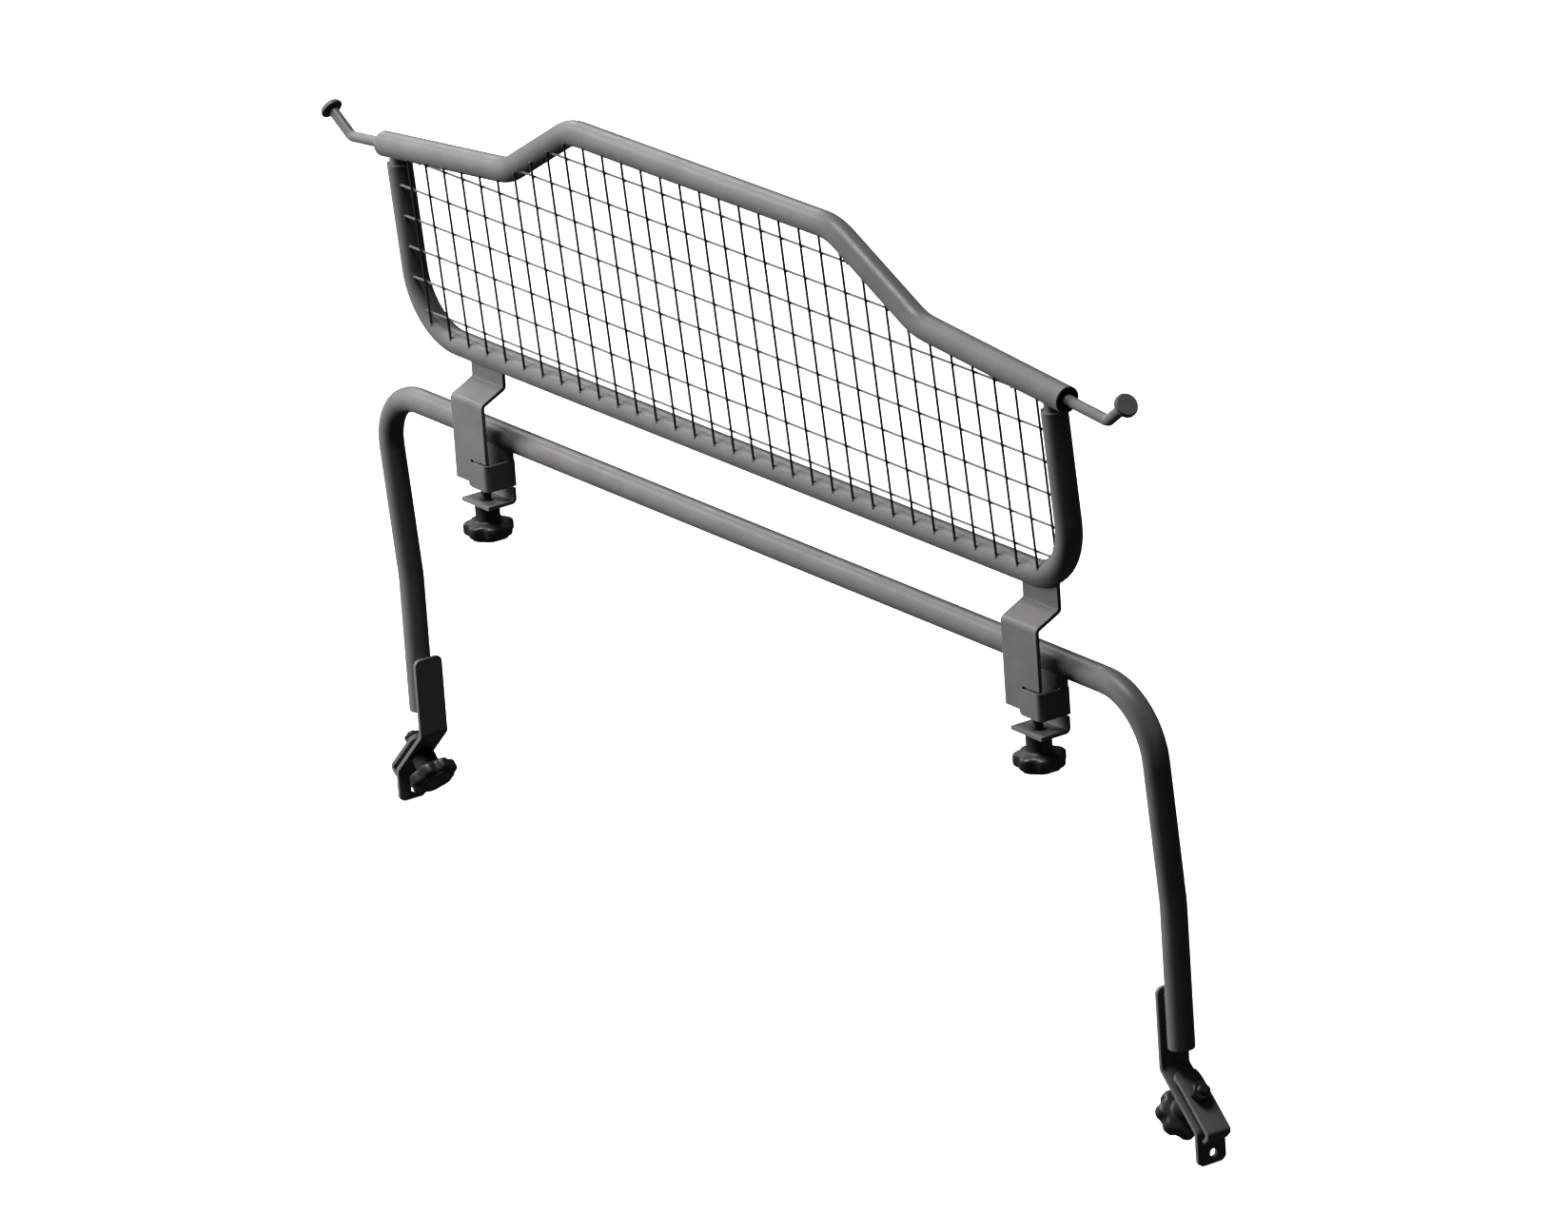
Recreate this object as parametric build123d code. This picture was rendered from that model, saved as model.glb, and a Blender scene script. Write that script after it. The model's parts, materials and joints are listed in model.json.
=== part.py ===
from build123d import *
import math
import os

# Cargo barrier for a car load space. All sizes are in millimetres, +Z is up along the lower legs,
# -Y is the side the clamp knobs of the brackets stand in front of, and X runs along the barrier.
# The model is laid out about the middle of the lower frame's crossbar and moved to ORIGIN at export.

# Tubes and sheet
TUBE_R = 10.0
TUBE_BORE_R = 8.5
SHEET = 3.0

# Lower hoop
HOOP_X = 489.4
HOOP_CORNER_R = 50.0
LEG_KINK = (11.3, -158.2)
LEG_KINK_R = 120.0
LEG_END_Z = -269.0
LEG_PLUG_LENGTH = 12.0

# Upper panel, leaning towards -Y about the crossbar
LEAN = 4.1
RAIL_H = 65.1
SIDE_X = 417.0
SIDE_TOP_H = 201.5
PANEL_CORNER_R = 50.0
TOP_TUBE = [(434.5, 212.8), (262.0, 229.1), (167.1, 281.6)]
TOP_BEND_R = 50.0
NECK_R = 7.5

# Wire mesh, let into the front of the tubes
WIRE_R = 0.95
PITCH = 25.0
WIRES_EACH_SIDE = 16
MESH_X = 8.5
UPRIGHT_WIRE_Y = -8.05
LEVEL_WIRE_Y = -6.14
FIRST_ROW_H = 261.5
ROW_COUNT = 8
WIRE_WELD_GAP = 0.02

# Brackets, laid out about the clamp's axis
BRACKET_X = {"left": -327.8, "right": 377.0}
STRIP_LEFT_X = -23.5
STRIP_RIGHT_X = 18.5
STRIP_TOP_Y = -4.65
STRIP_FRONT_Y = -25.65
STRIP_BEND_H = (42.15, 32.15)
STRIP_BEND_R = 3.5
STRIP_END_Z = -33.0
SLOT_TOP_Z = -14.0
SLOT_BOTTOM_Z = -16.4
SLOT_X = -2.0
TAB_X = -7.3
TAB_END_Z = -37.0
TAB_WALL_END_Y = -0.6

# Saddle under the crossbar, with the nut the clamp stud screws into
SADDLE_LEFT_X = -26.5
SADDLE_CHEEK_X = 12.0
SADDLE_CHEEK_END_Y = -1.2
SADDLE_CHEEK_END_Z = -16.2
SADDLE_WALL_Y = -7.0
SADDLE_TOP_Z = -6.5
SADDLE_FLOOR_Z = -31.5
SADDLE_BEND_R = 3.5
SADDLE_FLOOR_WIDTH = 23.4

# M8 screws, nuts and star knobs
STUD_R = 4.0
STUD_CLEARANCE = 0.08
THREAD_CLEARANCE = 0.05
NUT_FLATS = 13.0
NUT_HEIGHT = 6.5
CLIP_R = 5.6
CLIP_HEIGHT = 0.8
FACE_GAP = 0.1
HUB_R = 9.75
HUB_LENGTH = 14.0
KNOB_R = 20.0
KNOB_HEIGHT = 13.5
KNOB_LOBES = 7
SCALLOP_R = 7.0
SCALLOP_CENTRE = 24.6
STUD_IN_KNOB = 18.0

# Bracket clamp
CLAMP_Y = -16.75
JAW_HALF_WIDTH = 18.3
JAW_FRONT_Y = -27.5
JAW_MID_Z = -49.8
JAW_HEEL_Y = -2.75
JAW_HEEL_TOP_Z = -38.5
JAW_BEND_R = 3.0
CLAMP_STUD_TOP_Z = -14.0

# Foot plate and foot clamp
FOOT_X = 477.8
FOOT_Y = 12.5
FOOT_WIDTH = 25.0
FOOT_TOP_Z = -224.0
FOOT_BEND_Z = -287.0
FOOT_SLOPE_RUN = 37.8
FOOT_TIP_Z = -351.0
FOOT_BEND_R = 4.0
FOOT_CORNER_R = 5.0
TIP_HOLE_R = 3.25
TIP_HOLE = (14.0, -343.0)
FOOT_CLAMP_S = 29.3
FOOT_JAW_WIDTH = 20.5
FOOT_JAW_H = 8.0
FOOT_JAW_LINE = [(7.6, 5.7), (18.2, FOOT_JAW_H), (61.6, FOOT_JAW_H), (61.6, -0.5)]
FOOT_STUD_END_H = 18.5

# Telescopic end rods
ROD_R = 4.25
ROD_CLEARANCE = 0.08
ROD_ELBOW_X = 481.2
ROD_ELBOW_R = 8.0
ROD_INSIDE = 108.0
ROD_RISE = 35.8
ROD_ARM = 28.8
SLIDER_R = 8.42
SLIDER_LENGTH = 20.0
COLLAR_R = 6.5
COLLAR_LENGTH = 2.0
BUSH_RECESS = 4.0
BUSH_LENGTH = 16.0
PAD_R = 9.0
PAD_PLATE = 1.5
PAD_RUBBER = 2.0

# Weld beads
WELD_R = 1.6

ORIGIN = Vector(-(FOOT_X + FOOT_SLOPE_RUN), TIP_HOLE[0], TIP_HOLE[1])
SIDES = {"left": -1, "right": 1}

parts = {}


def bent_path(points, radii):
    """Straight runs through the points, joined by arcs of the given radii."""
    corners = [Vector(*point) for point in points]
    edges = []
    start = corners[0]
    for before, corner, after, radius in zip(corners, corners[1:], corners[2:], radii):
        back = (before - corner).normalized()
        ahead = (after - corner).normalized()
        half = math.radians(back.get_angle(ahead)) / 2
        tangent = radius / math.tan(half)
        centre = corner + (back + ahead).normalized() * (radius / math.sin(half))
        middle = centre + (corner - centre).normalized() * radius
        arc_start = corner + back * tangent
        arc_end = corner + ahead * tangent
        edges.append(Edge.make_line(start, arc_start))
        edges.append(Edge.make_three_point_arc(arc_start, middle, arc_end))
        start = arc_end
    edges.append(Edge.make_line(start, corners[-1]))
    return Wire(edges)


def swept_round(points, radii, radius):
    """Solid round bar along a bent path."""
    path = bent_path(points, radii)
    return sweep(Plane(origin=path @ 0, z_dir=path % 0) * Circle(radius), path=path)


def bent_tube(points, radii):
    """Hollow tube along a bent path."""
    path = bent_path(points, radii)
    profile = Circle(TUBE_R) - Circle(TUBE_BORE_R)
    return sweep(Plane(origin=path @ 0, z_dir=path % 0) * profile, path=path)


def bent_sheet(points, radii, width, across):
    """Sheet metal strip along a bent path; across is the direction of its width."""
    path = bent_path(points, radii)
    start = Plane(origin=path @ 0, x_dir=across, z_dir=path % 0)
    return sweep(start * Rectangle(width, SHEET), path=path)


def rod_between(start, end, radius):
    """Straight round bar from start to end."""
    start = Vector(*start)
    end = Vector(*end)
    direction = end - start
    base = Plane(origin=start, z_dir=direction)
    return extrude(base * Circle(radius), direction.length)


def box_between(low, high):
    """Box with two opposite corners given."""
    size = [b - a for a, b in zip(low, high)]
    middle = [(a + b) / 2 for a, b in zip(low, high)]
    return Pos(*middle) * Box(*size)


def upright(x, height, y=0.0):
    """Point of the panel, given in the panel's own plane, in the row's axes."""
    lean = math.radians(LEAN)
    return (
        x,
        y * math.cos(lean) - height * math.sin(lean),
        y * math.sin(lean) + height * math.cos(lean),
    )


def both_ways(half_line):
    """Mirror a line given from the right end to the middle, and run it from left to right."""
    left = [(-x, height) for x, height in half_line]
    return left + [(x, height) for x, height in reversed(half_line)]


def pieces(shapes, shortest):
    """The solids of several shapes that are longer than the shortest length wanted."""
    kept = []
    for shape in shapes:
        for solid in shape.solids():
            if max(solid.bounding_box().size) > shortest:
                kept.append(solid)
    return Compound(children=kept)


def nut():
    """Hexagon nut standing on the XY plane, two flats facing along Y."""
    flats = RegularPolygon(NUT_FLATS / 2, 6, major_radius=False, rotation=30)
    body = extrude(flats - Circle(STUD_R + THREAD_CLEARANCE), NUT_HEIGHT)
    cone = Cone(NUT_FLATS / 2 + 4.6, NUT_FLATS / 2 - 0.2, NUT_HEIGHT / 2 + 2)
    crown = Pos(0, 0, NUT_HEIGHT / 2 + 1) * cone
    return body & (crown + Cylinder(NUT_FLATS, NUT_HEIGHT))


def star_knob():
    """Star knob hanging below the XY plane: hub at the top, lobes and closed cap below."""
    outline = Circle(KNOB_R)
    for index in range(KNOB_LOBES):
        angle = 360 * index / KNOB_LOBES
        outline -= Rot(Z=angle) * Pos(SCALLOP_CENTRE, 0) * Circle(SCALLOP_R)
    outline = fillet(outline.vertices(), 2.0)
    star = Pos(0, 0, -HUB_LENGTH - KNOB_HEIGHT) * extrude(outline, KNOB_HEIGHT)
    star = fillet(star.faces().sort_by(Axis.Z)[0].edges(), 2.5)
    star = fillet(star.faces().sort_by(Axis.Z)[-1].edges(), 2.0)
    hub = Pos(0, 0, -HUB_LENGTH / 2) * Cylinder(HUB_R, HUB_LENGTH)
    bore = Pos(0, 0, -STUD_IN_KNOB / 2) * Cylinder(STUD_R, STUD_IN_KNOB)
    return star + hub - bore


def stud(length):
    """Stud rising from inside the knob to the given length above the XY plane, with a domed end."""
    shank = Pos(0, 0, (length - STUD_IN_KNOB) / 2) * Cylinder(STUD_R, length + STUD_IN_KNOB)
    return fillet(shank.edges().group_by(Axis.Z)[-1], 1.5)


# Lower hoop ------------------------------------------------------------------------------------

kink_y, kink_z = LEG_KINK
hoop_line = [
    (-HOOP_X, kink_y, LEG_END_Z),
    (-HOOP_X, kink_y, kink_z),
    (-HOOP_X, 0, 0),
    (HOOP_X, 0, 0),
    (HOOP_X, kink_y, kink_z),
    (HOOP_X, kink_y, LEG_END_Z),
]
hoop_radii = [LEG_KINK_R, HOOP_CORNER_R, HOOP_CORNER_R, LEG_KINK_R]
parts["hoop_tube"] = bent_tube(hoop_line, hoop_radii)
crossbar = rod_between((-HOOP_X, 0, 0), (HOOP_X, 0, 0), TUBE_R)

for side, sign in SIDES.items():
    plug_low = (sign * HOOP_X, kink_y, LEG_END_Z)
    plug_high = (sign * HOOP_X, kink_y, LEG_END_Z + LEG_PLUG_LENGTH)
    parts[f"leg_plug_{side}"] = rod_between(plug_low, plug_high, TUBE_BORE_R)


# Foot plates and foot clamps -------------------------------------------------------------------
# Built for the right foot and mirrored for the left one.

slope_start = Vector(FOOT_X, FOOT_Y, FOOT_BEND_Z)
clamp_plane = Plane(
    origin=slope_start + Vector(1, 0, -1).normalized() * FOOT_CLAMP_S,
    x_dir=(1, 0, -1),
    z_dir=(1, 0, 1),
)


def foot_point(along, out):
    """Point given along the foot plate's slope from its upper bend, and outwards from its middle."""
    point = slope_start + Vector(1, 0, -1).normalized() * along + Vector(1, 0, 1).normalized() * out
    return (point.X, point.Y, point.Z)


def foot_plate():
    line = [
        (FOOT_X, FOOT_Y, FOOT_TOP_Z),
        (FOOT_X, FOOT_Y, FOOT_BEND_Z),
        (FOOT_X + FOOT_SLOPE_RUN, FOOT_Y, FOOT_BEND_Z - FOOT_SLOPE_RUN),
        (FOOT_X + FOOT_SLOPE_RUN, FOOT_Y, FOOT_TIP_Z),
    ]
    plate = bent_sheet(line, [FOOT_BEND_R, FOOT_BEND_R], FOOT_WIDTH, (0, 1, 0))
    plate = fillet(plate.edges().filter_by(Axis.X).group_by(Axis.Z)[-1], FOOT_CORNER_R)
    plate = fillet(plate.edges().filter_by(Axis.X).group_by(Axis.Z)[0], FOOT_CORNER_R)
    tip_hole = Pos(FOOT_X + FOOT_SLOPE_RUN, *TIP_HOLE) * Rot(Y=90) * Cylinder(TIP_HOLE_R, 4 * SHEET)
    stud_hole = clamp_plane * Cylinder(STUD_R + STUD_CLEARANCE, 2 * SHEET)
    return plate - tip_hole - stud_hole


def foot_jaw():
    line = [foot_point(along, out) for along, out in FOOT_JAW_LINE]
    jaw = bent_sheet(line, [9.0, 3.0], FOOT_JAW_WIDTH, (0, 1, 0))
    heel = jaw.edges().filter_by(GeomType.LINE).filter_by(lambda edge: abs(edge.length - SHEET) < 0.01)
    jaw = fillet(heel.sort_by(Axis.Z)[-2:], 6.0)
    return jaw - clamp_plane * Pos(0, 0, FOOT_JAW_H) * Cylinder(STUD_R + STUD_CLEARANCE, 2 * SHEET)


def foot_weld():
    beads = []
    for weld_y in (kink_y - 5.6, kink_y + 5.6):
        low = (FOOT_X + SHEET / 2, weld_y, LEG_END_Z + 1)
        high = (FOOT_X + SHEET / 2, weld_y, FOOT_TOP_Z - 5)
        beads.append(rod_between(low, high, WELD_R))
    leg = rod_between((HOOP_X, kink_y, LEG_END_Z - 5), (HOOP_X, kink_y, FOOT_TOP_Z + 5), TUBE_R)
    plate = box_between((FOOT_X - 9, -5, LEG_END_Z - 5), (FOOT_X + SHEET / 2, 30, FOOT_TOP_Z + 5))
    return pieces([bead - leg - plate for bead in beads], 10)


knob_plane = clamp_plane * Pos(0, 0, -SHEET / 2 - FACE_GAP)
nut_plane = clamp_plane * Pos(0, 0, FOOT_JAW_H + SHEET / 2)
right_foot = {
    "foot_plate": foot_plate(),
    "foot_weld": foot_weld(),
    "foot_jaw": foot_jaw(),
    "foot_nut": nut_plane * nut(),
    "foot_knob": knob_plane * star_knob(),
    "foot_stud": knob_plane * stud(FOOT_STUD_END_H + SHEET / 2 + FACE_GAP),
}
for name, shape in right_foot.items():
    parts[f"{name}_right"] = shape
    parts[f"{name}_left"] = mirror(shape, about=Plane.YZ)


# Upper panel -----------------------------------------------------------------------------------

top_line = [upright(x, height) for x, height in both_ways(TOP_TUBE)]
top_radii = [TOP_BEND_R] * 4
loop_line = [upright(x, height) for x, height in both_ways([(SIDE_X, SIDE_TOP_H), (SIDE_X, RAIL_H)])]
loop_radii = [PANEL_CORNER_R] * 2
parts["top_tube"] = bent_tube(top_line, top_radii)
parts["panel_loop"] = bent_tube(loop_line, loop_radii)
top_solid = swept_round(top_line, top_radii, TUBE_R + WIRE_WELD_GAP)
loop_solid = swept_round(loop_line, loop_radii, TUBE_R + WIRE_WELD_GAP)


def top_height(x):
    """Height of the top tube's axis, in the panel's plane."""
    (end_x, end_h), (shoulder_x, shoulder_h), (crest_x, crest_h) = TOP_TUBE
    if abs(x) < crest_x:
        return crest_h
    if abs(x) < shoulder_x:
        return crest_h + (abs(x) - crest_x) * (shoulder_h - crest_h) / (shoulder_x - crest_x)
    return shoulder_h + (abs(x) - shoulder_x) * (end_h - shoulder_h) / (end_x - shoulder_x)


def rail_height(x):
    """Height of the loop's axis below a wire, which rises round the loop's corners."""
    past_corner = max(0.0, abs(x) - (SIDE_X - PANEL_CORNER_R))
    return RAIL_H + PANEL_CORNER_R - math.sqrt(PANEL_CORNER_R**2 - past_corner**2)


def row_reach(height):
    """Half length of a horizontal wire, up to the axis of the tube that ends it."""
    (end_x, end_h), (shoulder_x, shoulder_h), (crest_x, crest_h) = TOP_TUBE
    if height < end_h:
        below_corner = max(0.0, RAIL_H + PANEL_CORNER_R - height)
        return SIDE_X - PANEL_CORNER_R + math.sqrt(PANEL_CORNER_R**2 - below_corner**2)
    return shoulder_x + (height - shoulder_h) * (crest_x - shoulder_x) / (crest_h - shoulder_h)


uprights = []
for index in range(-WIRES_EACH_SIDE, WIRES_EACH_SIDE + 1):
    x = MESH_X + index * PITCH
    low = upright(x, rail_height(x), UPRIGHT_WIRE_Y)
    high = upright(x, top_height(x), UPRIGHT_WIRE_Y)
    uprights.append(rod_between(low, high, WIRE_R) - top_solid - loop_solid)
parts["upright_wires"] = pieces(uprights, PITCH)

rows = []
for index in range(ROW_COUNT):
    height = FIRST_ROW_H - index * PITCH
    reach = row_reach(height)
    left = upright(-reach, height, LEVEL_WIRE_Y)
    right = upright(reach, height, LEVEL_WIRE_Y)
    rows.append(rod_between(left, right, WIRE_R) - top_solid - loop_solid)
parts["level_wires"] = pieces(rows, 2 * PITCH)

for side, sign in SIDES.items():
    foot = upright(sign * SIDE_X, SIDE_TOP_H - 8)
    head = upright(sign * SIDE_X, SIDE_TOP_H + 10)
    plug = rod_between(foot, head, TUBE_BORE_R) - top_solid
    collar = rod_between(upright(sign * SIDE_X, SIDE_TOP_H), head, TUBE_R + 1)
    neck = rod_between(upright(sign * SIDE_X, SIDE_TOP_H), head, NECK_R)
    parts[f"neck_plug_{side}"] = plug - (collar - neck)


# Brackets and saddles --------------------------------------------------------------------------
# Built about the clamp's axis and moved to each bracket's place; both have the same hand.

strip_width = STRIP_RIGHT_X - STRIP_LEFT_X
strip_x = (STRIP_RIGHT_X + STRIP_LEFT_X) / 2
cheek_x = STRIP_RIGHT_X - SHEET / 2


def bracket():
    high, low = STRIP_BEND_H
    line = [
        (strip_x, STRIP_TOP_Y, RAIL_H + 6),
        (strip_x, STRIP_TOP_Y, high),
        (strip_x, STRIP_FRONT_Y, low),
        (strip_x, STRIP_FRONT_Y, STRIP_END_Z),
    ]
    strip = bent_sheet(line, [STRIP_BEND_R, STRIP_BEND_R], strip_width, (1, 0, 0))
    under_slot = box_between((TAB_X, -30, STRIP_END_Z - 1), (STRIP_RIGHT_X + 1, -20, SLOT_BOTTOM_Z))
    slot = box_between((SLOT_X, -30, SLOT_BOTTOM_Z), (STRIP_RIGHT_X + 1, -20, SLOT_TOP_Z))
    middle_z = (TAB_END_Z + SLOT_BOTTOM_Z) / 2
    tab_line = [
        (TAB_X, STRIP_FRONT_Y, middle_z),
        (cheek_x, STRIP_FRONT_Y, middle_z),
        (cheek_x, TAB_WALL_END_Y, middle_z),
    ]
    tab = bent_sheet(tab_line, [STRIP_BEND_R], SLOT_BOTTOM_Z - TAB_END_Z, (0, 0, 1))
    tab_corner = tab.edges().filter_by(Axis.Y).sort_by(Axis.X)[:2].sort_by(Axis.Z)[0]
    return strip - under_slot - slot + fillet(tab_corner, 4.0)


def bracket_weld(x):
    """Beads between a strip and the loop, which bends away from the strip at the right bracket."""
    low = RAIL_H - TUBE_R
    reach = SIDE_X + TUBE_R
    outline = both_ways([(reach, SIDE_TOP_H), (reach, low)])
    width = box_between((x + STRIP_LEFT_X + 1, -30, 40), (x + STRIP_RIGHT_X - 1, 30, 80))
    beads = []
    for weld_y in (-SHEET / 2, SHEET / 2):
        line = [upright(along, height, weld_y) for along, height in outline]
        bead = swept_round(line, [PANEL_CORNER_R + TUBE_R] * 2, WELD_R)
        beads.append((bead & width) - loop_solid - Pos(x, 0, 0) * bracket())
    return pieces(beads, 10)


def saddle():
    middle_z = (SADDLE_TOP_Z + SADDLE_FLOOR_Z) / 2
    wall_line = [
        (SADDLE_LEFT_X, SADDLE_WALL_Y, middle_z),
        (cheek_x, SADDLE_WALL_Y, middle_z),
        (cheek_x, SADDLE_CHEEK_END_Y, middle_z),
    ]
    wall = bent_sheet(wall_line, [SADDLE_BEND_R], SADDLE_TOP_Z - SADDLE_FLOOR_Z, (0, 0, 1))
    under_low = (SADDLE_CHEEK_X, -10, SADDLE_FLOOR_Z - SHEET)
    under_cheek = box_between(under_low, (STRIP_RIGHT_X + 1, 1, SADDLE_CHEEK_END_Z))
    floor_line = [
        (0, SADDLE_WALL_Y, SADDLE_FLOOR_Z + 12),
        (0, SADDLE_WALL_Y, SADDLE_FLOOR_Z),
        (0, STRIP_FRONT_Y + SHEET / 2, SADDLE_FLOOR_Z),
    ]
    floor = bent_sheet(floor_line, [2.0], SADDLE_FLOOR_WIDTH, (1, 0, 0))
    hole = Pos(0, CLAMP_Y, SADDLE_FLOOR_Z) * Cylinder(STUD_R + 0.5, 2 * SHEET)
    return wall - under_cheek + floor - hole - crossbar


def clamp_jaw():
    line = [(0, JAW_FRONT_Y, JAW_MID_Z), (0, JAW_HEEL_Y, JAW_MID_Z), (0, JAW_HEEL_Y, JAW_HEEL_TOP_Z)]
    jaw = bent_sheet(line, [JAW_BEND_R], 2 * JAW_HALF_WIDTH, (1, 0, 0))
    return jaw - Pos(0, CLAMP_Y, JAW_MID_Z) * Cylinder(STUD_R + STUD_CLEARANCE, 2 * SHEET)


jaw_under_z = JAW_MID_Z - SHEET / 2 - FACE_GAP
jaw_over_z = JAW_MID_Z + SHEET / 2 + FACE_GAP
clip = extrude(Circle(CLIP_R) - Circle(STUD_R), CLIP_HEIGHT)
bracket_parts = {
    "saddle": saddle(),
    "saddle_nut": Pos(0, CLAMP_Y, SADDLE_FLOOR_Z + SHEET / 2) * nut(),
    "clamp_jaw": clamp_jaw(),
    "clamp_knob": Pos(0, CLAMP_Y, jaw_under_z) * star_knob(),
    "clamp_stud": Pos(0, CLAMP_Y, jaw_under_z) * stud(CLAMP_STUD_TOP_Z - jaw_under_z),
    "clamp_clip": Pos(0, CLAMP_Y, jaw_over_z) * clip,
}
for side, x in BRACKET_X.items():
    parts[f"bracket_{side}"] = Pos(x, 0, 0) * bracket() - loop_solid
    parts[f"bracket_weld_{side}"] = bracket_weld(x)
    for name, shape in bracket_parts.items():
        parts[f"{name}_{side}"] = Pos(x, 0, 0) * shape


# Telescopic end rods ---------------------------------------------------------------------------
# Built for the right end in the panel's plane and mirrored for the left one.

tube_end = Vector(*upright(*TOP_TUBE[0]))
tube_shoulder = Vector(*upright(*TOP_TUBE[1]))
end_axis = (tube_end - tube_shoulder).normalized()
end_slope = (TOP_TUBE[0][1] - TOP_TUBE[1][1]) / (TOP_TUBE[0][0] - TOP_TUBE[1][0])
elbow_h = TOP_TUBE[0][1] + (ROD_ELBOW_X - TOP_TUBE[0][0]) * end_slope
elbow = Vector(*upright(ROD_ELBOW_X, elbow_h))
arm_axis = Vector(*upright(math.cos(math.radians(ROD_RISE)), math.sin(math.radians(ROD_RISE))))


def along_rod(depth, length, radius, bore):
    """Ring on the rod's axis, starting at a depth inside the tube's mouth."""
    base = Plane(origin=tube_end - end_axis * depth, z_dir=end_axis)
    return extrude(base * (Circle(radius) - Circle(bore)), length)


def end_rod():
    inner_end = tube_end - end_axis * ROD_INSIDE
    arm_end = elbow + arm_axis * ROD_ARM
    rod = swept_round([tuple(inner_end), tuple(elbow), tuple(arm_end)], [ROD_ELBOW_R], ROD_R)
    slider_depth = ROD_INSIDE - COLLAR_LENGTH
    rod += along_rod(ROD_INSIDE, COLLAR_LENGTH - 0.05, COLLAR_R, ROD_R - 1)
    rod += along_rod(slider_depth - SLIDER_LENGTH - 0.05, COLLAR_LENGTH, COLLAR_R, ROD_R - 1)
    return rod


pad_base = Plane(origin=elbow + arm_axis * ROD_ARM, z_dir=arm_axis)
pad_plate = pad_base * extrude(Circle(PAD_R), PAD_PLATE)
pad_rubber = pad_base * Pos(0, 0, PAD_PLATE) * extrude(Circle(PAD_R - 0.6), PAD_RUBBER)
right_end = {
    "end_bush": along_rod(BUSH_RECESS + BUSH_LENGTH, BUSH_LENGTH, TUBE_BORE_R, ROD_R + ROD_CLEARANCE),
    "rod_slider": along_rod(ROD_INSIDE - COLLAR_LENGTH, SLIDER_LENGTH, SLIDER_R, ROD_R + ROD_CLEARANCE),
    "end_rod": end_rod(),
    "pad_plate": pad_plate,
    "pad_rubber": fillet(pad_rubber.edges().filter_by(GeomType.CIRCLE).sort_by(Axis.X)[-1], 0.8),
}
for name, shape in right_end.items():
    parts[f"{name}_right"] = shape
    parts[f"{name}_left"] = mirror(shape, about=Plane.YZ)


os.makedirs("parts", exist_ok=True)
for name, shape in parts.items():
    export_step(Pos(*(-ORIGIN)) * shape, f"parts/{name}.step")
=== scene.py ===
import json
import math

import bmesh
import bpy
from mathutils import Matrix, Vector, noise


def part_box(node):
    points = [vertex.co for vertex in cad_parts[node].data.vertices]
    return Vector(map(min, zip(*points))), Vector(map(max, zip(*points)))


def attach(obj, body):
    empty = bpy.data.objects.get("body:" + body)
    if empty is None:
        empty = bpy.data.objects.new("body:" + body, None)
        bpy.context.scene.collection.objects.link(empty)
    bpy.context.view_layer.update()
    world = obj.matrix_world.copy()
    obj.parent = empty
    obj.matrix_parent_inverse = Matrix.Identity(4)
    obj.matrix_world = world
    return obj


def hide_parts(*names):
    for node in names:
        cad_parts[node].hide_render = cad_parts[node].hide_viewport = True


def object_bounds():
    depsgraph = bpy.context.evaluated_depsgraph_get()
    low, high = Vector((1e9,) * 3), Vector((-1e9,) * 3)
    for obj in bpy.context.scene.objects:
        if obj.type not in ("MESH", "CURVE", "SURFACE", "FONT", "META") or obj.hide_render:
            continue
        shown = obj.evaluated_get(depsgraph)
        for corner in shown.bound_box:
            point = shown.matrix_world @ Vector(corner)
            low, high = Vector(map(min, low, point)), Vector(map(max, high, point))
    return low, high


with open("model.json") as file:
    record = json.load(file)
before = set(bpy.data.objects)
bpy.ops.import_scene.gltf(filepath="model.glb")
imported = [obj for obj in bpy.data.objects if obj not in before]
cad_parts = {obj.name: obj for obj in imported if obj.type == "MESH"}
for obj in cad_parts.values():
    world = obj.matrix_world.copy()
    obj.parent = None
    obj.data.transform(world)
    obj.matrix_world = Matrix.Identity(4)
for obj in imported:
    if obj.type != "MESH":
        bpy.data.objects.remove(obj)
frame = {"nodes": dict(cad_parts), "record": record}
cad_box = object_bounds()

SIDES = ("left", "right")
MM = 0.001

# Sizes that repeat the CAD's, in metres
KNOB_LOBES = 7
STUD_R = 4.0 * MM
THREAD_PITCH = 1.25 * MM
THREAD_DEPTH = 0.55 * MM
FOOT_STUD_END = 18.5 * MM
THREAD_BEHIND_FACE = 2.0 * MM
SHEET = 3.0 * MM
FACE_GAP = 0.1 * MM
WIRE_R = 0.95 * MM
WELD_R = 1.6 * MM
LOOP_CORNER_R = 60.0 * MM

# Weld beads as they are drawn
RIPPLE = 1.9 * MM
FOOT_BEAD_R = 1.3 * MM
RAIL_BEAD_R = 1.2 * MM

# Camera: a long lens seen from the front right, a little above
CAMERA_AZIMUTH = 55.93
CAMERA_ELEVATION = 19.68
CAMERA_ROLL = -3.995
CAMERA_DISTANCE = 8.258
CAMERA_LENS = 256.4
CAMERA_AIM = Vector((17.1, 17.9, -26.6)) * MM


# Materials -------------------------------------------------------------------------------------


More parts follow.
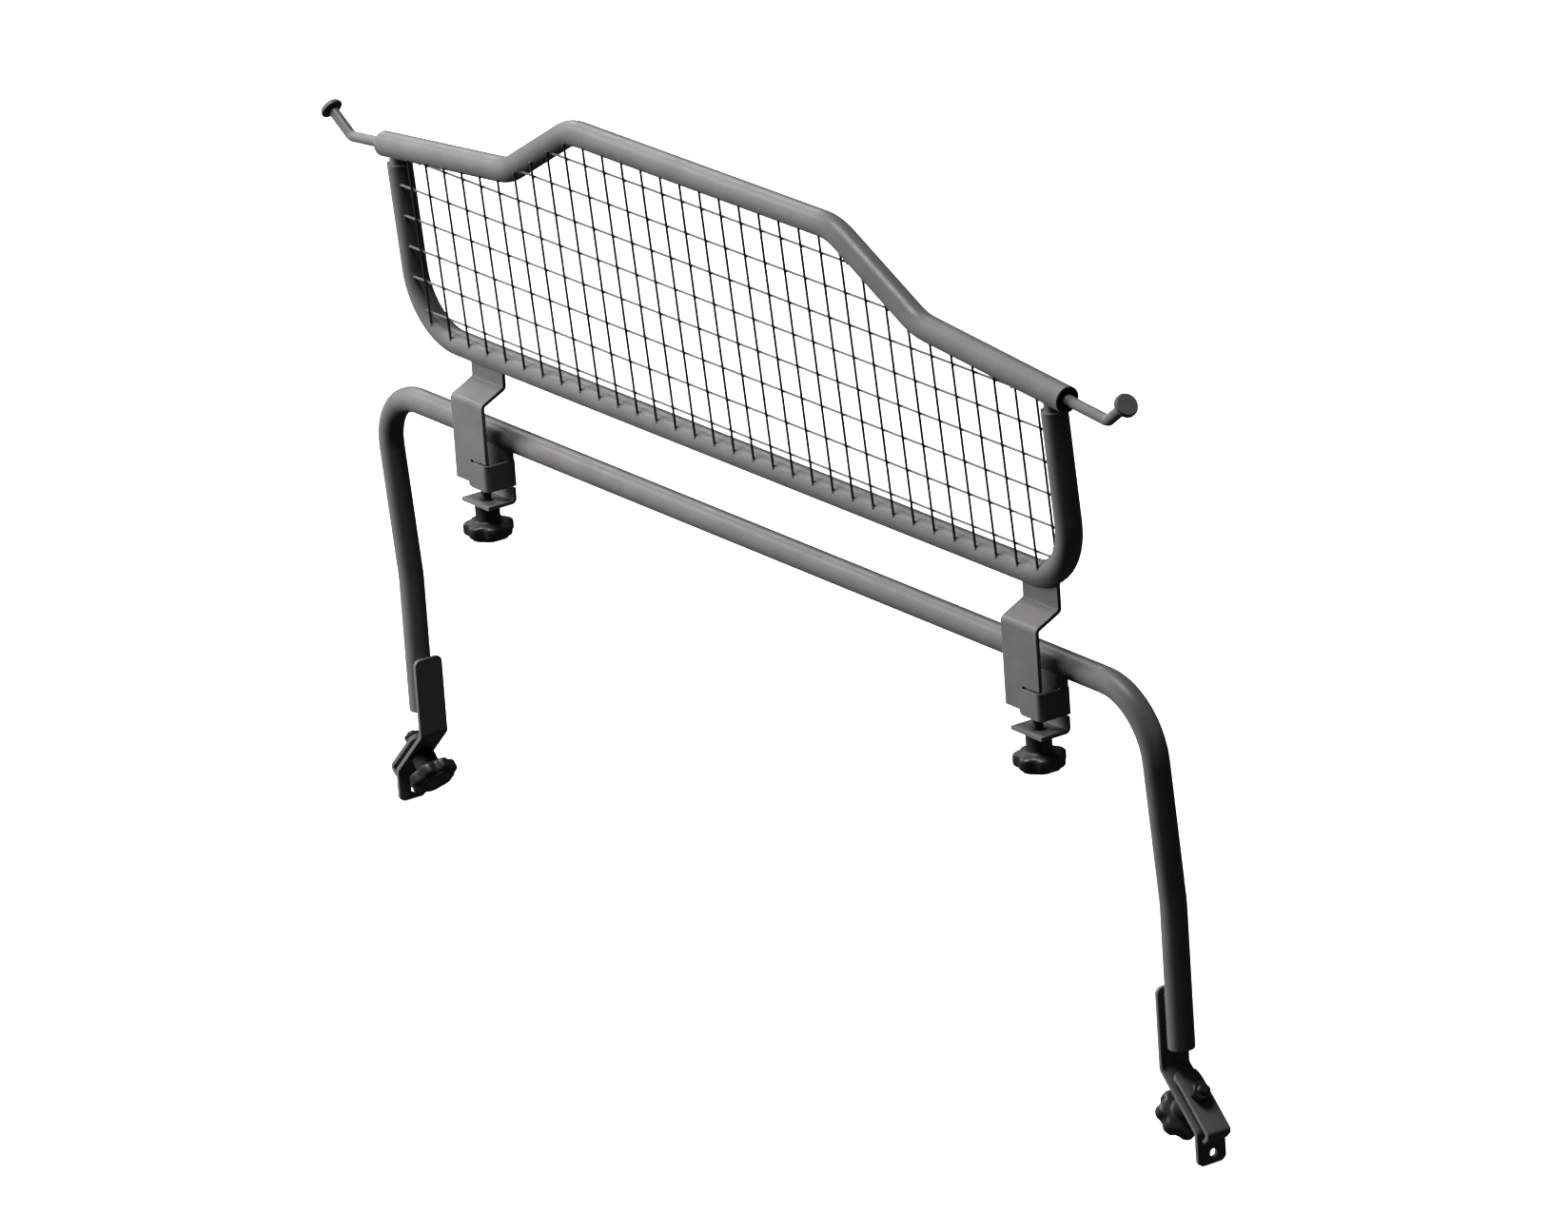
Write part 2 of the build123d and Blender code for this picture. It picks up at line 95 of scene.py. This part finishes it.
class Shader:
    """A material's node tree, with short calls for the nodes that every finish here needs."""

    def __init__(self, name):
        self.material = bpy.data.materials.new(name)
        self.material.use_nodes = True
        self.tree = self.material.node_tree
        self.surface = self.tree.nodes["Principled BSDF"]
        self.place = self.node("ShaderNodeTexCoord").outputs["Object"]

    def node(self, kind, **settings):
        made = self.tree.nodes.new(kind)
        for key, value in settings.items():
            setattr(made, key, value)
        return made

    def link(self, source, target):
        self.tree.links.new(source, target)

    def noise(self, scale, detail=4.0, roughness=0.6):
        made = self.node("ShaderNodeTexNoise")
        made.inputs["Scale"].default_value = scale
        made.inputs["Detail"].default_value = detail
        made.inputs["Roughness"].default_value = roughness
        self.link(self.place, made.inputs["Vector"])
        return made.outputs["Fac"]

    def ramp(self, source, low, high, values):
        """Maps source between low and high to the two values, numbers or colours."""
        made = self.node("ShaderNodeMapRange" if isinstance(values[0], float) else "ShaderNodeValToRGB")
        if isinstance(values[0], float):
            made.inputs["From Min"].default_value = low
            made.inputs["From Max"].default_value = high
            made.inputs["To Min"].default_value = values[0]
            made.inputs["To Max"].default_value = values[1]
            self.link(source, made.inputs["Value"])
            return made.outputs["Result"]
        made.color_ramp.elements[0].position = low
        made.color_ramp.elements[1].position = high
        for element, colour in zip(made.color_ramp.elements, values):
            element.color = (*colour, 1.0)
        self.link(source, made.inputs["Fac"])
        return made.outputs["Color"]

    def rounded_edge_highlight(self, radius):
        """A rounded normal, and how far it leans off the true one: 0 on flats, 1 along sharp edges; the
        second is the mask for a painted edge highlight.
        """
        rounded = self.node("ShaderNodeBevel", samples=6)
        rounded.inputs["Radius"].default_value = radius
        true = self.node("ShaderNodeNewGeometry").outputs["Normal"]
        dot = self.node("ShaderNodeVectorMath", operation="DOT_PRODUCT")
        self.link(rounded.outputs["Normal"], dot.inputs[0])
        self.link(true, dot.inputs[1])
        return rounded.outputs["Normal"], self.ramp(dot.outputs["Value"], 0.97, 0.80, (0.0, 1.0))

    def mix(self, factor, first, second):
        made = self.node("ShaderNodeMix", data_type="RGBA")
        self.link(factor, made.inputs["Factor"])
        self.link(first, made.inputs["A"])
        if isinstance(second, tuple):
            made.inputs["B"].default_value = (*second, 1.0)
        else:
            self.link(second, made.inputs["B"])
        return made.outputs["Result"]

    def bump(self, height, strength, distance, normal=None):
        made = self.node("ShaderNodeBump")
        made.inputs["Strength"].default_value = strength
        made.inputs["Distance"].default_value = distance
        self.link(height, made.inputs["Height"])
        if normal is not None:
            self.link(normal, made.inputs["Normal"])
        return made.outputs["Normal"]


def coated_metal(name, dark, light, edge, grain, gloss):
    """Powder coat: fine orange peel, faint cloudiness, and a lighter colour painted along edges as a
    highlight.
    """
    shader = Shader(name)
    rounded, edge_highlight_mask = shader.rounded_edge_highlight(0.5 * MM)
    cloud = shader.ramp(shader.noise(38.0), 0.35, 0.68, (dark, light))
    speck = shader.ramp(shader.noise(2600.0, 2.0), 0.62, 0.75, ((0.0, 0.0, 0.0), (0.22, 0.22, 0.22)))
    coat = shader.mix(speck, cloud, tuple(1.6 * channel for channel in light))
    # Painted highlight: the lighter edge colour laid along the bevelled edges
    shader.link(shader.mix(edge_highlight_mask, coat, edge), shader.surface.inputs["Base Color"])
    rough = shader.ramp(shader.noise(95.0), 0.3, 0.7, (gloss - 0.05, gloss + 0.07))
    shader.link(rough, shader.surface.inputs["Roughness"])
    peel = shader.bump(shader.noise(grain, 3.0), 0.16, 0.00006, rounded)
    shader.link(peel, shader.surface.inputs["Normal"])
    shader.surface.inputs["Specular IOR Level"].default_value = 0.22
    return shader.material


def moulded_plastic(name):
    """Black nylon: fine spark-eroded grain, a mottled tone, and a lighter colour painted on the crests as a
    highlight.
    """
    shader = Shader(name)
    rounded, edge_highlight_mask = shader.rounded_edge_highlight(0.5 * MM)
    tone = shader.ramp(shader.noise(60.0), 0.3, 0.7, ((0.011, 0.011, 0.011), (0.019, 0.019, 0.018)))
    # Painted highlight: a lighter colour along the crests and edges
    shader.link(shader.mix(edge_highlight_mask, tone, (0.04, 0.04, 0.038)), shader.surface.inputs["Base Color"])
    rough = shader.ramp(shader.noise(140.0), 0.3, 0.7, (0.36, 0.52))
    shader.link(rough, shader.surface.inputs["Roughness"])
    grain = shader.bump(shader.noise(3200.0, 2.0), 0.2, 0.00005, rounded)
    shader.link(grain, shader.surface.inputs["Normal"])
    return shader.material


def blackened_steel(name):
    """Screws and nuts: black oxide over steel, with a lighter colour painted on the corners as a highlight.
    """
    shader = Shader(name)
    rounded, edge_highlight_mask = shader.rounded_edge_highlight(0.35 * MM)
    tone = shader.ramp(shader.noise(220.0), 0.3, 0.7, ((0.035, 0.035, 0.034), (0.075, 0.074, 0.072)))
    # Painted highlight: a lighter colour on the corners and edges
    shader.link(shader.mix(edge_highlight_mask, tone, (0.3, 0.3, 0.29)), shader.surface.inputs["Base Color"])
    shader.surface.inputs["Metallic"].default_value = 0.75
    rough = shader.ramp(shader.noise(300.0), 0.3, 0.7, (0.24, 0.42))
    shader.link(rough, shader.surface.inputs["Roughness"])
    fine = shader.bump(shader.noise(2400.0, 2.0), 0.12, 0.00004, rounded)
    shader.link(fine, shader.surface.inputs["Normal"])
    return shader.material


def pad_rubber(name):
    """Dark rubber facing: matt, dusty and slightly pebbled."""
    shader = Shader(name)
    rounded, edge_highlight_mask = shader.rounded_edge_highlight(0.4 * MM)
    tone = shader.ramp(shader.noise(150.0, 6.0), 0.3, 0.7, ((0.062, 0.062, 0.059), (0.082, 0.081, 0.077)))
    # Painted highlight: a lighter colour along the edges
    shader.link(shader.mix(edge_highlight_mask, tone, (0.11, 0.11, 0.105)), shader.surface.inputs["Base Color"])
    rough = shader.ramp(shader.noise(200.0), 0.3, 0.7, (0.62, 0.8))
    shader.link(rough, shader.surface.inputs["Roughness"])
    pebble = shader.bump(shader.noise(1500.0, 3.0), 0.3, 0.00008, rounded)
    shader.link(pebble, shader.surface.inputs["Normal"])
    return shader.material


# Each coat's third colour is the painted edge highlight
POWDER = coated_metal(
    "satin_powder_coat", (0.086, 0.085, 0.082), (0.102, 0.101, 0.097), (0.2, 0.197, 0.19), 1500.0, 0.37
)
WIRE_COAT = coated_metal(
    "wire_powder_coat", (0.020, 0.020, 0.019), (0.030, 0.030, 0.029), (0.05, 0.05, 0.048), 2200.0, 0.45
)
# Lit copy of the wire coat: the level wires' lighter colour is painted light from above, while the uprights
# keep the darker coat
LIT_LEVEL_WIRE_COAT = coated_metal(
    "level_wire_painted_lit_coat",
    (0.085, 0.084, 0.081),
    (0.105, 0.104, 0.100),
    (0.16, 0.158, 0.15),
    2200.0,
    0.42,
)
PLASTIC = moulded_plastic("moulded_black_plastic")
STEEL = blackened_steel("blackened_steel")
RUBBER = pad_rubber("pad_rubber")

SLOT_FINISH = {
    "powder_coat": POWDER,
    "wire_coat": WIRE_COAT,
    "black_steel": STEEL,
    "black_plastic": PLASTIC,
    "bush_plastic": PLASTIC,
    "rubber": RUBBER,
}


def finish_cad_nodes():
    """Every CAD node takes the finish of its slot in the record; the level wires get a lighter, lit copy of
    the wire coat, painted light from above.
    """
    for subpart in frame["record"]["subparts"]:
        node = frame["nodes"][subpart["node"]]
        finish = SLOT_FINISH[subpart["material_slot"]]
        # Painted light: the level wires take the lit copy of the wire coat
        if subpart["node"] == "level_wires":
            finish = LIT_LEVEL_WIRE_COAT
        for slot in node.material_slots:
            slot.material = finish


# Mesh helpers ----------------------------------------------------------------------------------


def add_mesh(name, rings, material, body):
    """A closed skin over rings of points, all with the same number of points."""
    mesh = bmesh.new()
    rows = [[mesh.verts.new(point) for point in ring] for ring in rings]
    count = len(rows[0])
    for lower, upper in zip(rows, rows[1:]):
        for index in range(count):
            after = (index + 1) % count
            mesh.faces.new((lower[index], lower[after], upper[after], upper[index]))
    mesh.faces.new(list(reversed(rows[0])))
    mesh.faces.new(rows[-1])
    return place_mesh(name, mesh, material, body)


def place_mesh(name, mesh, material, body):
    """Turns a bmesh in the row's frame into a piece that rides on a body."""
    bmesh.ops.recalc_face_normals(mesh, faces=mesh.faces)
    data = bpy.data.meshes.new(name)
    mesh.to_mesh(data)
    mesh.free()
    for polygon in data.polygons:
        polygon.use_smooth = True
    data.materials.append(material)
    piece = bpy.data.objects.new(name, data)
    bpy.context.scene.collection.objects.link(piece)
    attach(piece, body)
    return piece


def standing_on(origin, axis):
    """Matrix of a frame at the origin with its Z along the axis."""
    return Matrix.Translation(origin) @ axis.to_track_quat("Z", "Y").to_matrix().to_4x4()


def joint(name):
    return next(entry for entry in frame["record"]["behaviour"]["joints"] if entry["name"] == name)


# Star knobs and studs --------------------------------------------------------------------------

# Outline of the knob from hub to cap: distance below the hub's face, radius, and depth of the lobes
KNOB_OUTLINE = [
    (0.0, 8.7, 0.0),
    (0.12, 9.2, 0.0),
    (0.5, 9.6, 0.0),
    (1.1, 9.75, 0.0),
    (11.6, 9.55, 0.0),
    (12.6, 9.8, 0.0),
    (13.3, 10.5, 0.0),
    (13.8, 11.8, 0.1),
    (14.2, 14.0, 0.5),
    (14.6, 16.4, 1.4),
    (15.1, 18.1, 2.2),
    (15.9, 19.2, 2.8),
    (17.0, 19.8, 3.1),
    (18.4, 19.9, 3.2),
    (21.6, 19.9, 3.2),
    (23.0, 19.7, 3.1),
    (24.0, 19.0, 2.8),
    (24.7, 17.9, 2.3),
    (25.0, 16.9, 1.8),
    (25.05, 16.2, 1.3),
    (25.3, 16.0, 1.1),
    (26.5, 15.8, 1.0),
    (27.1, 15.3, 0.9),
    (27.4, 14.4, 0.7),
    (27.5, 13.2, 0.5),
    (27.35, 8.0, 0.0),
    (27.3, 2.0, 0.0),
]
KNOB_STEPS = 168


def knob_radius(radius, depth, angle):
    """Wide round lobes with narrow valleys between them."""
    valley = (0.5 - 0.5 * math.cos(KNOB_LOBES * angle)) ** 1.6
    return radius - depth * valley


def star_knob(name, origin, axis, body, node):
    """Moulded star knob hanging from its hub's face at origin, axis pointing out along the stud."""
    matrix = standing_on(origin, axis)
    rings = []
    for drop, radius, depth in KNOB_OUTLINE:
        ring = []
        for step in range(KNOB_STEPS):
            angle = 2 * math.pi * step / KNOB_STEPS
            reach = knob_radius(radius, depth, angle) * MM
            ring.append(matrix @ Vector((reach * math.cos(angle), reach * math.sin(angle), -drop * MM)))
        rings.append(ring)
    knob = add_mesh(name, rings, PLASTIC, body)
    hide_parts(node)


def threaded_stud(name, origin, axis, length, body, node):
    """Rolled thread with a chamfered and domed end, starting a little behind the knob's face."""
    matrix = standing_on(origin, axis)
    steps = 40
    per_turn = 10
    start = -THREAD_BEHIND_FACE
    turns = (length - start) / THREAD_PITCH
    rings = []
    for row in range(int(turns * per_turn) + 1):
        height = start + row * THREAD_PITCH / per_turn
        left = length - height
        dome = STUD_R - 0.9 * MM + 0.9 * MM * min(1.0, left / (1.4 * MM))
        ring = []
        for step in range(steps):
            angle = 2 * math.pi * step / steps
            phase = (height / THREAD_PITCH - angle / (2 * math.pi)) % 1.0
            groove = THREAD_DEPTH * (0.5 + 0.5 * math.cos(2 * math.pi * phase)) ** 1.5
            reach = min(STUD_R - groove, dome)
            ring.append(matrix @ Vector((reach * math.cos(angle), reach * math.sin(angle), height)))
        rings.append(ring)
    for drop, reach in ((0.35, 2.4), (0.12, 1.3), (0.0, 0.4)):
        ring = []
        for step in range(steps):
            angle = 2 * math.pi * step / steps
            point = Vector((reach * MM * math.cos(angle), reach * MM * math.sin(angle), length - drop * MM))
            ring.append(matrix @ point)
        rings.append(ring)
    stud = add_mesh(name, rings, STEEL, body)
    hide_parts(node)


def clamp_screws():
    """The four knobs with their studs, placed from the knobs' joints."""
    for side in SIDES:
        spin = joint(f"bracket_knob_spin_{side}")
        axis = Vector(spin["axis"])
        face = Vector(spin["pos_m"])
        face.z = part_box(f"clamp_knob_{side}")[1][2]
        body = f"bracket_screw_{side}"
        star_knob(f"bracket_knob_{side}", face, axis, body, f"clamp_knob_{side}")
        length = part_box(f"clamp_stud_{side}")[1][2] - face.z
        threaded_stud(f"bracket_thread_{side}", face, axis, length, body, f"clamp_stud_{side}")
        spin = joint(f"foot_knob_spin_{side}")
        axis = Vector(spin["axis"])
        face = Vector(spin["pos_m"]) - axis * (SHEET / 2 + FACE_GAP)
        body = f"foot_screw_{side}"
        star_knob(f"foot_star_knob_{side}", face, axis, body, f"foot_knob_{side}")
        length = FOOT_STUD_END + SHEET / 2 + FACE_GAP
        threaded_stud(f"foot_thread_{side}", face, axis, length, body, f"foot_stud_{side}")


# Welds -----------------------------------------------------------------------------------------


def wire_runs(node):
    """The points of each wire of a node, which are the separate solids in its mesh."""
    data = frame["nodes"][node].data
    links = {index: [] for index in range(len(data.vertices))}
    places = {}
    for vertex in data.vertices:
        places.setdefault(tuple(round(value, 6) for value in vertex.co), []).append(vertex.index)
    for edge in data.edges:
        links[edge.vertices[0]].append(edge.vertices[1])
        links[edge.vertices[1]].append(edge.vertices[0])
    for group in places.values():
        for index in group[1:]:
            links[group[0]].append(index)
            links[index].append(group[0])
    seen = set()
    runs = []
    for start in links:
        if start in seen:
            continue
        stack = [start]
        seen.add(start)
        island = []
        while stack:
            index = stack.pop()
            island.append(data.vertices[index].co)
            for other in links[index]:
                if other not in seen:
                    seen.add(other)
                    stack.append(other)
        runs.append(island)
    return runs


def end_points(island, axis):
    """Centres of an island's lowest and highest ends along an axis."""
    low = min(point[axis] for point in island)
    high = max(point[axis] for point in island)
    reach = 2.5 * WIRE_R
    first = [point for point in island if point[axis] < low + reach]
    last = [point for point in island if point[axis] > high - reach]
    return sum(first, Vector()) / len(first), sum(last, Vector()) / len(last)


def add_blob(mesh, centre, along, across, height):
    """A small squashed weld spot."""
    made = bmesh.ops.create_icosphere(mesh, subdivisions=2, radius=1.0)
    scale = Matrix.Diagonal((along, across, height))
    for vertex in made["verts"]:
        rough = 1.0 + 0.12 * noise.noise(vertex.co * 1.7 + centre * 900)
        vertex.co = centre + scale @ (vertex.co * rough)


def wire_welds():
    """Spot welds where wires cross, and small weld spots where they meet the tubes."""
    uprights = [end_points(island, 2) for island in wire_runs("upright_wires")]
    levels = [end_points(island, 0) for island in wire_runs("level_wires")]
    crossings = bmesh.new()
    for low, high in uprights:
        for left, right in levels:
            share = (left.z - low.z) / (high.z - low.z)
            if 0.0 < share < 1.0 and left.x < low.x < right.x:
                on_upright = low.lerp(high, share)
                middle = (on_upright + Vector((on_upright.x, left.y, left.z))) / 2
                add_blob(crossings, middle, 1.05 * WIRE_R, 0.8 * WIRE_R, 1.05 * WIRE_R)
    place_mesh("wire_crossing_welds", crossings, WIRE_COAT, "frame")
    ends = bmesh.new()
    for low, high in uprights:
        add_blob(ends, low, 1.35 * WIRE_R, 1.2 * WIRE_R, 0.8 * WIRE_R)
        add_blob(ends, high, 1.35 * WIRE_R, 1.2 * WIRE_R, 0.8 * WIRE_R)
    for left, right in levels:
        add_blob(ends, left, 0.8 * WIRE_R, 1.2 * WIRE_R, 1.35 * WIRE_R)
        add_blob(ends, right, 0.8 * WIRE_R, 1.2 * WIRE_R, 1.35 * WIRE_R)
    place_mesh("wire_end_welds", ends, POWDER, "frame")


def weld_bead(mesh, points, radius):
    """A rippled bead: overlapping scales, one at each point of the seam."""
    direction = (points[-1] - points[0]).normalized()
    turn = direction.to_track_quat("X", "Z").to_matrix()
    for centre in points:
        made = bmesh.ops.create_icosphere(mesh, subdivisions=3, radius=1.0)
        size = radius * (1.0 + 0.10 * noise.noise(centre * 700))
        for vertex in made["verts"]:
            local = Vector((vertex.co.x * size * 1.05, vertex.co.y * size, vertex.co.z * size))
            vertex.co = centre + turn @ local


def seam_steps(start, end):
    """Even steps along a seam, about one ripple of the bead apart."""
    count = max(2, round(abs(end - start) / RIPPLE))
    return [start + (end - start) * index / count for index in range(count + 1)]


def foot_seams(side):
    """Beads up both edges of the flat where the foot plate meets the leg."""
    low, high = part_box(f"foot_weld_{side}")
    x = low[0] + 0.2 * MM if side == "right" else high[0] - 0.2 * MM
    beads = bmesh.new()
    for y in (low[1] + WELD_R, high[1] - WELD_R):
        heights = seam_steps(low[2] + 1.4 * MM, high[2] - 1.4 * MM)
        weld_bead(beads, [Vector((x, y, height)) for height in heights], FOOT_BEAD_R)
    bead = place_mesh(f"foot_bead_{side}", beads, POWDER, "frame")
    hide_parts(f"foot_weld_{side}")


def rail_seams(side):
    """Beads in front of and behind the strip, under the rail and up round its corner."""
    low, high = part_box(f"bracket_weld_{side}")
    middle_y = (low[1] + high[1]) / 2
    corner_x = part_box("panel_loop")[1][0] - LOOP_CORNER_R
    beads = bmesh.new()
    for y in (middle_y - SHEET / 2, middle_y + SHEET / 2):
        points = []
        for x in seam_steps(low[0] + 1.3 * MM, high[0] - 1.3 * MM):
            past = max(0.0, x - corner_x)
            rise = LOOP_CORNER_R - math.sqrt(LOOP_CORNER_R**2 - past**2)
            points.append(Vector((x, y, low[2] + WELD_R + rise)))
        weld_bead(beads, points, RAIL_BEAD_R)
    bead = place_mesh(f"rail_bead_{side}", beads, POWDER, "frame")
    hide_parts(f"bracket_weld_{side}")


# Studio ----------------------------------------------------------------------------------------


def area_light(name, place, aim, size, power):
    data = bpy.data.lights.new(name, "AREA")
    data.shape = "DISK"
    data.size = size
    data.energy = power
    light = bpy.data.objects.new(name, data)
    light.location = place
    light.rotation_euler = (aim - place).to_track_quat("-Z", "Y").to_euler()
    bpy.context.scene.collection.objects.link(light)
    return light


def studio():
    """Floor, world and lights. The tubes' highlights come from the streak and rim lights alone."""
    low, high = (Vector(corner) for corner in cad_box)
    centre = (low + high) / 2
    key = area_light("key", centre + Vector((-3.4, -2.6, 1.2)), centre, 2.4, 540.0)
    key.visible_glossy = False
    area_light("streak", centre + Vector((-3.6, -1.2, 2.6)), centre, 1.6, 55.0)
    area_light("rim", centre + Vector((-3.6, 1.1, 2.5)), centre, 1.8, 45.0)
    area_light("top", centre + Vector((-0.2, -1.0, 4.4)), centre, 2.0, 260.0)
    world = bpy.data.worlds.new("studio")
    world.use_nodes = True
    world.node_tree.nodes["Background"].inputs["Color"].default_value = (1.0, 1.0, 1.0, 1.0)
    world.node_tree.nodes["Background"].inputs["Strength"].default_value = 0.04
    bpy.context.scene.world = world
    bpy.context.scene.view_settings.view_transform = "Standard"
    bpy.ops.mesh.primitive_plane_add(size=80.0, location=(centre.x, centre.y, low.z - 0.5 * MM))
    floor = bpy.context.object
    floor.name = "floor"
    shader = Shader("pale_floor")
    tone = shader.ramp(shader.noise(0.8), 0.3, 0.7, ((0.82, 0.82, 0.81), (0.84, 0.84, 0.83)))
    shader.link(tone, shader.surface.inputs["Base Color"])
    shader.surface.inputs["Roughness"].default_value = 0.9
    shader.surface.inputs["Emission Color"].default_value = (1.0, 1.0, 1.0, 1.0)
    shader.surface.inputs["Emission Strength"].default_value = 1.0
    floor.data.materials.append(shader.material)
    floor.visible_diffuse = False
    floor.visible_glossy = False


def camera():
    low, high = (Vector(corner) for corner in cad_box)
    aim = (low + high) / 2 + CAMERA_AIM
    azimuth = math.radians(CAMERA_AZIMUTH)
    elevation = math.radians(CAMERA_ELEVATION)
    roll = math.radians(CAMERA_ROLL)
    back = Vector(
        (
            math.sin(azimuth) * math.cos(elevation),
            -math.cos(azimuth) * math.cos(elevation),
            math.sin(elevation),
        )
    )
    level = Vector((math.cos(azimuth), math.sin(azimuth), 0.0))
    right = level * math.cos(roll) + back.cross(level) * math.sin(roll)
    data = bpy.data.cameras.new("camera")
    data.lens = CAMERA_LENS
    data.sensor_width = 36.0
    data.clip_end = 100.0
    made = bpy.data.objects.new("camera", data)
    made.matrix_world = Matrix.Translation(aim + back * CAMERA_DISTANCE) @ Matrix(
        (right, back.cross(right), back)
    ).transposed().to_4x4()
    bpy.context.scene.collection.objects.link(made)
    bpy.context.scene.camera = made


finish_cad_nodes()
clamp_screws()
wire_welds()
for side in SIDES:
    foot_seams(side)
    rail_seams(side)
studio()
camera()
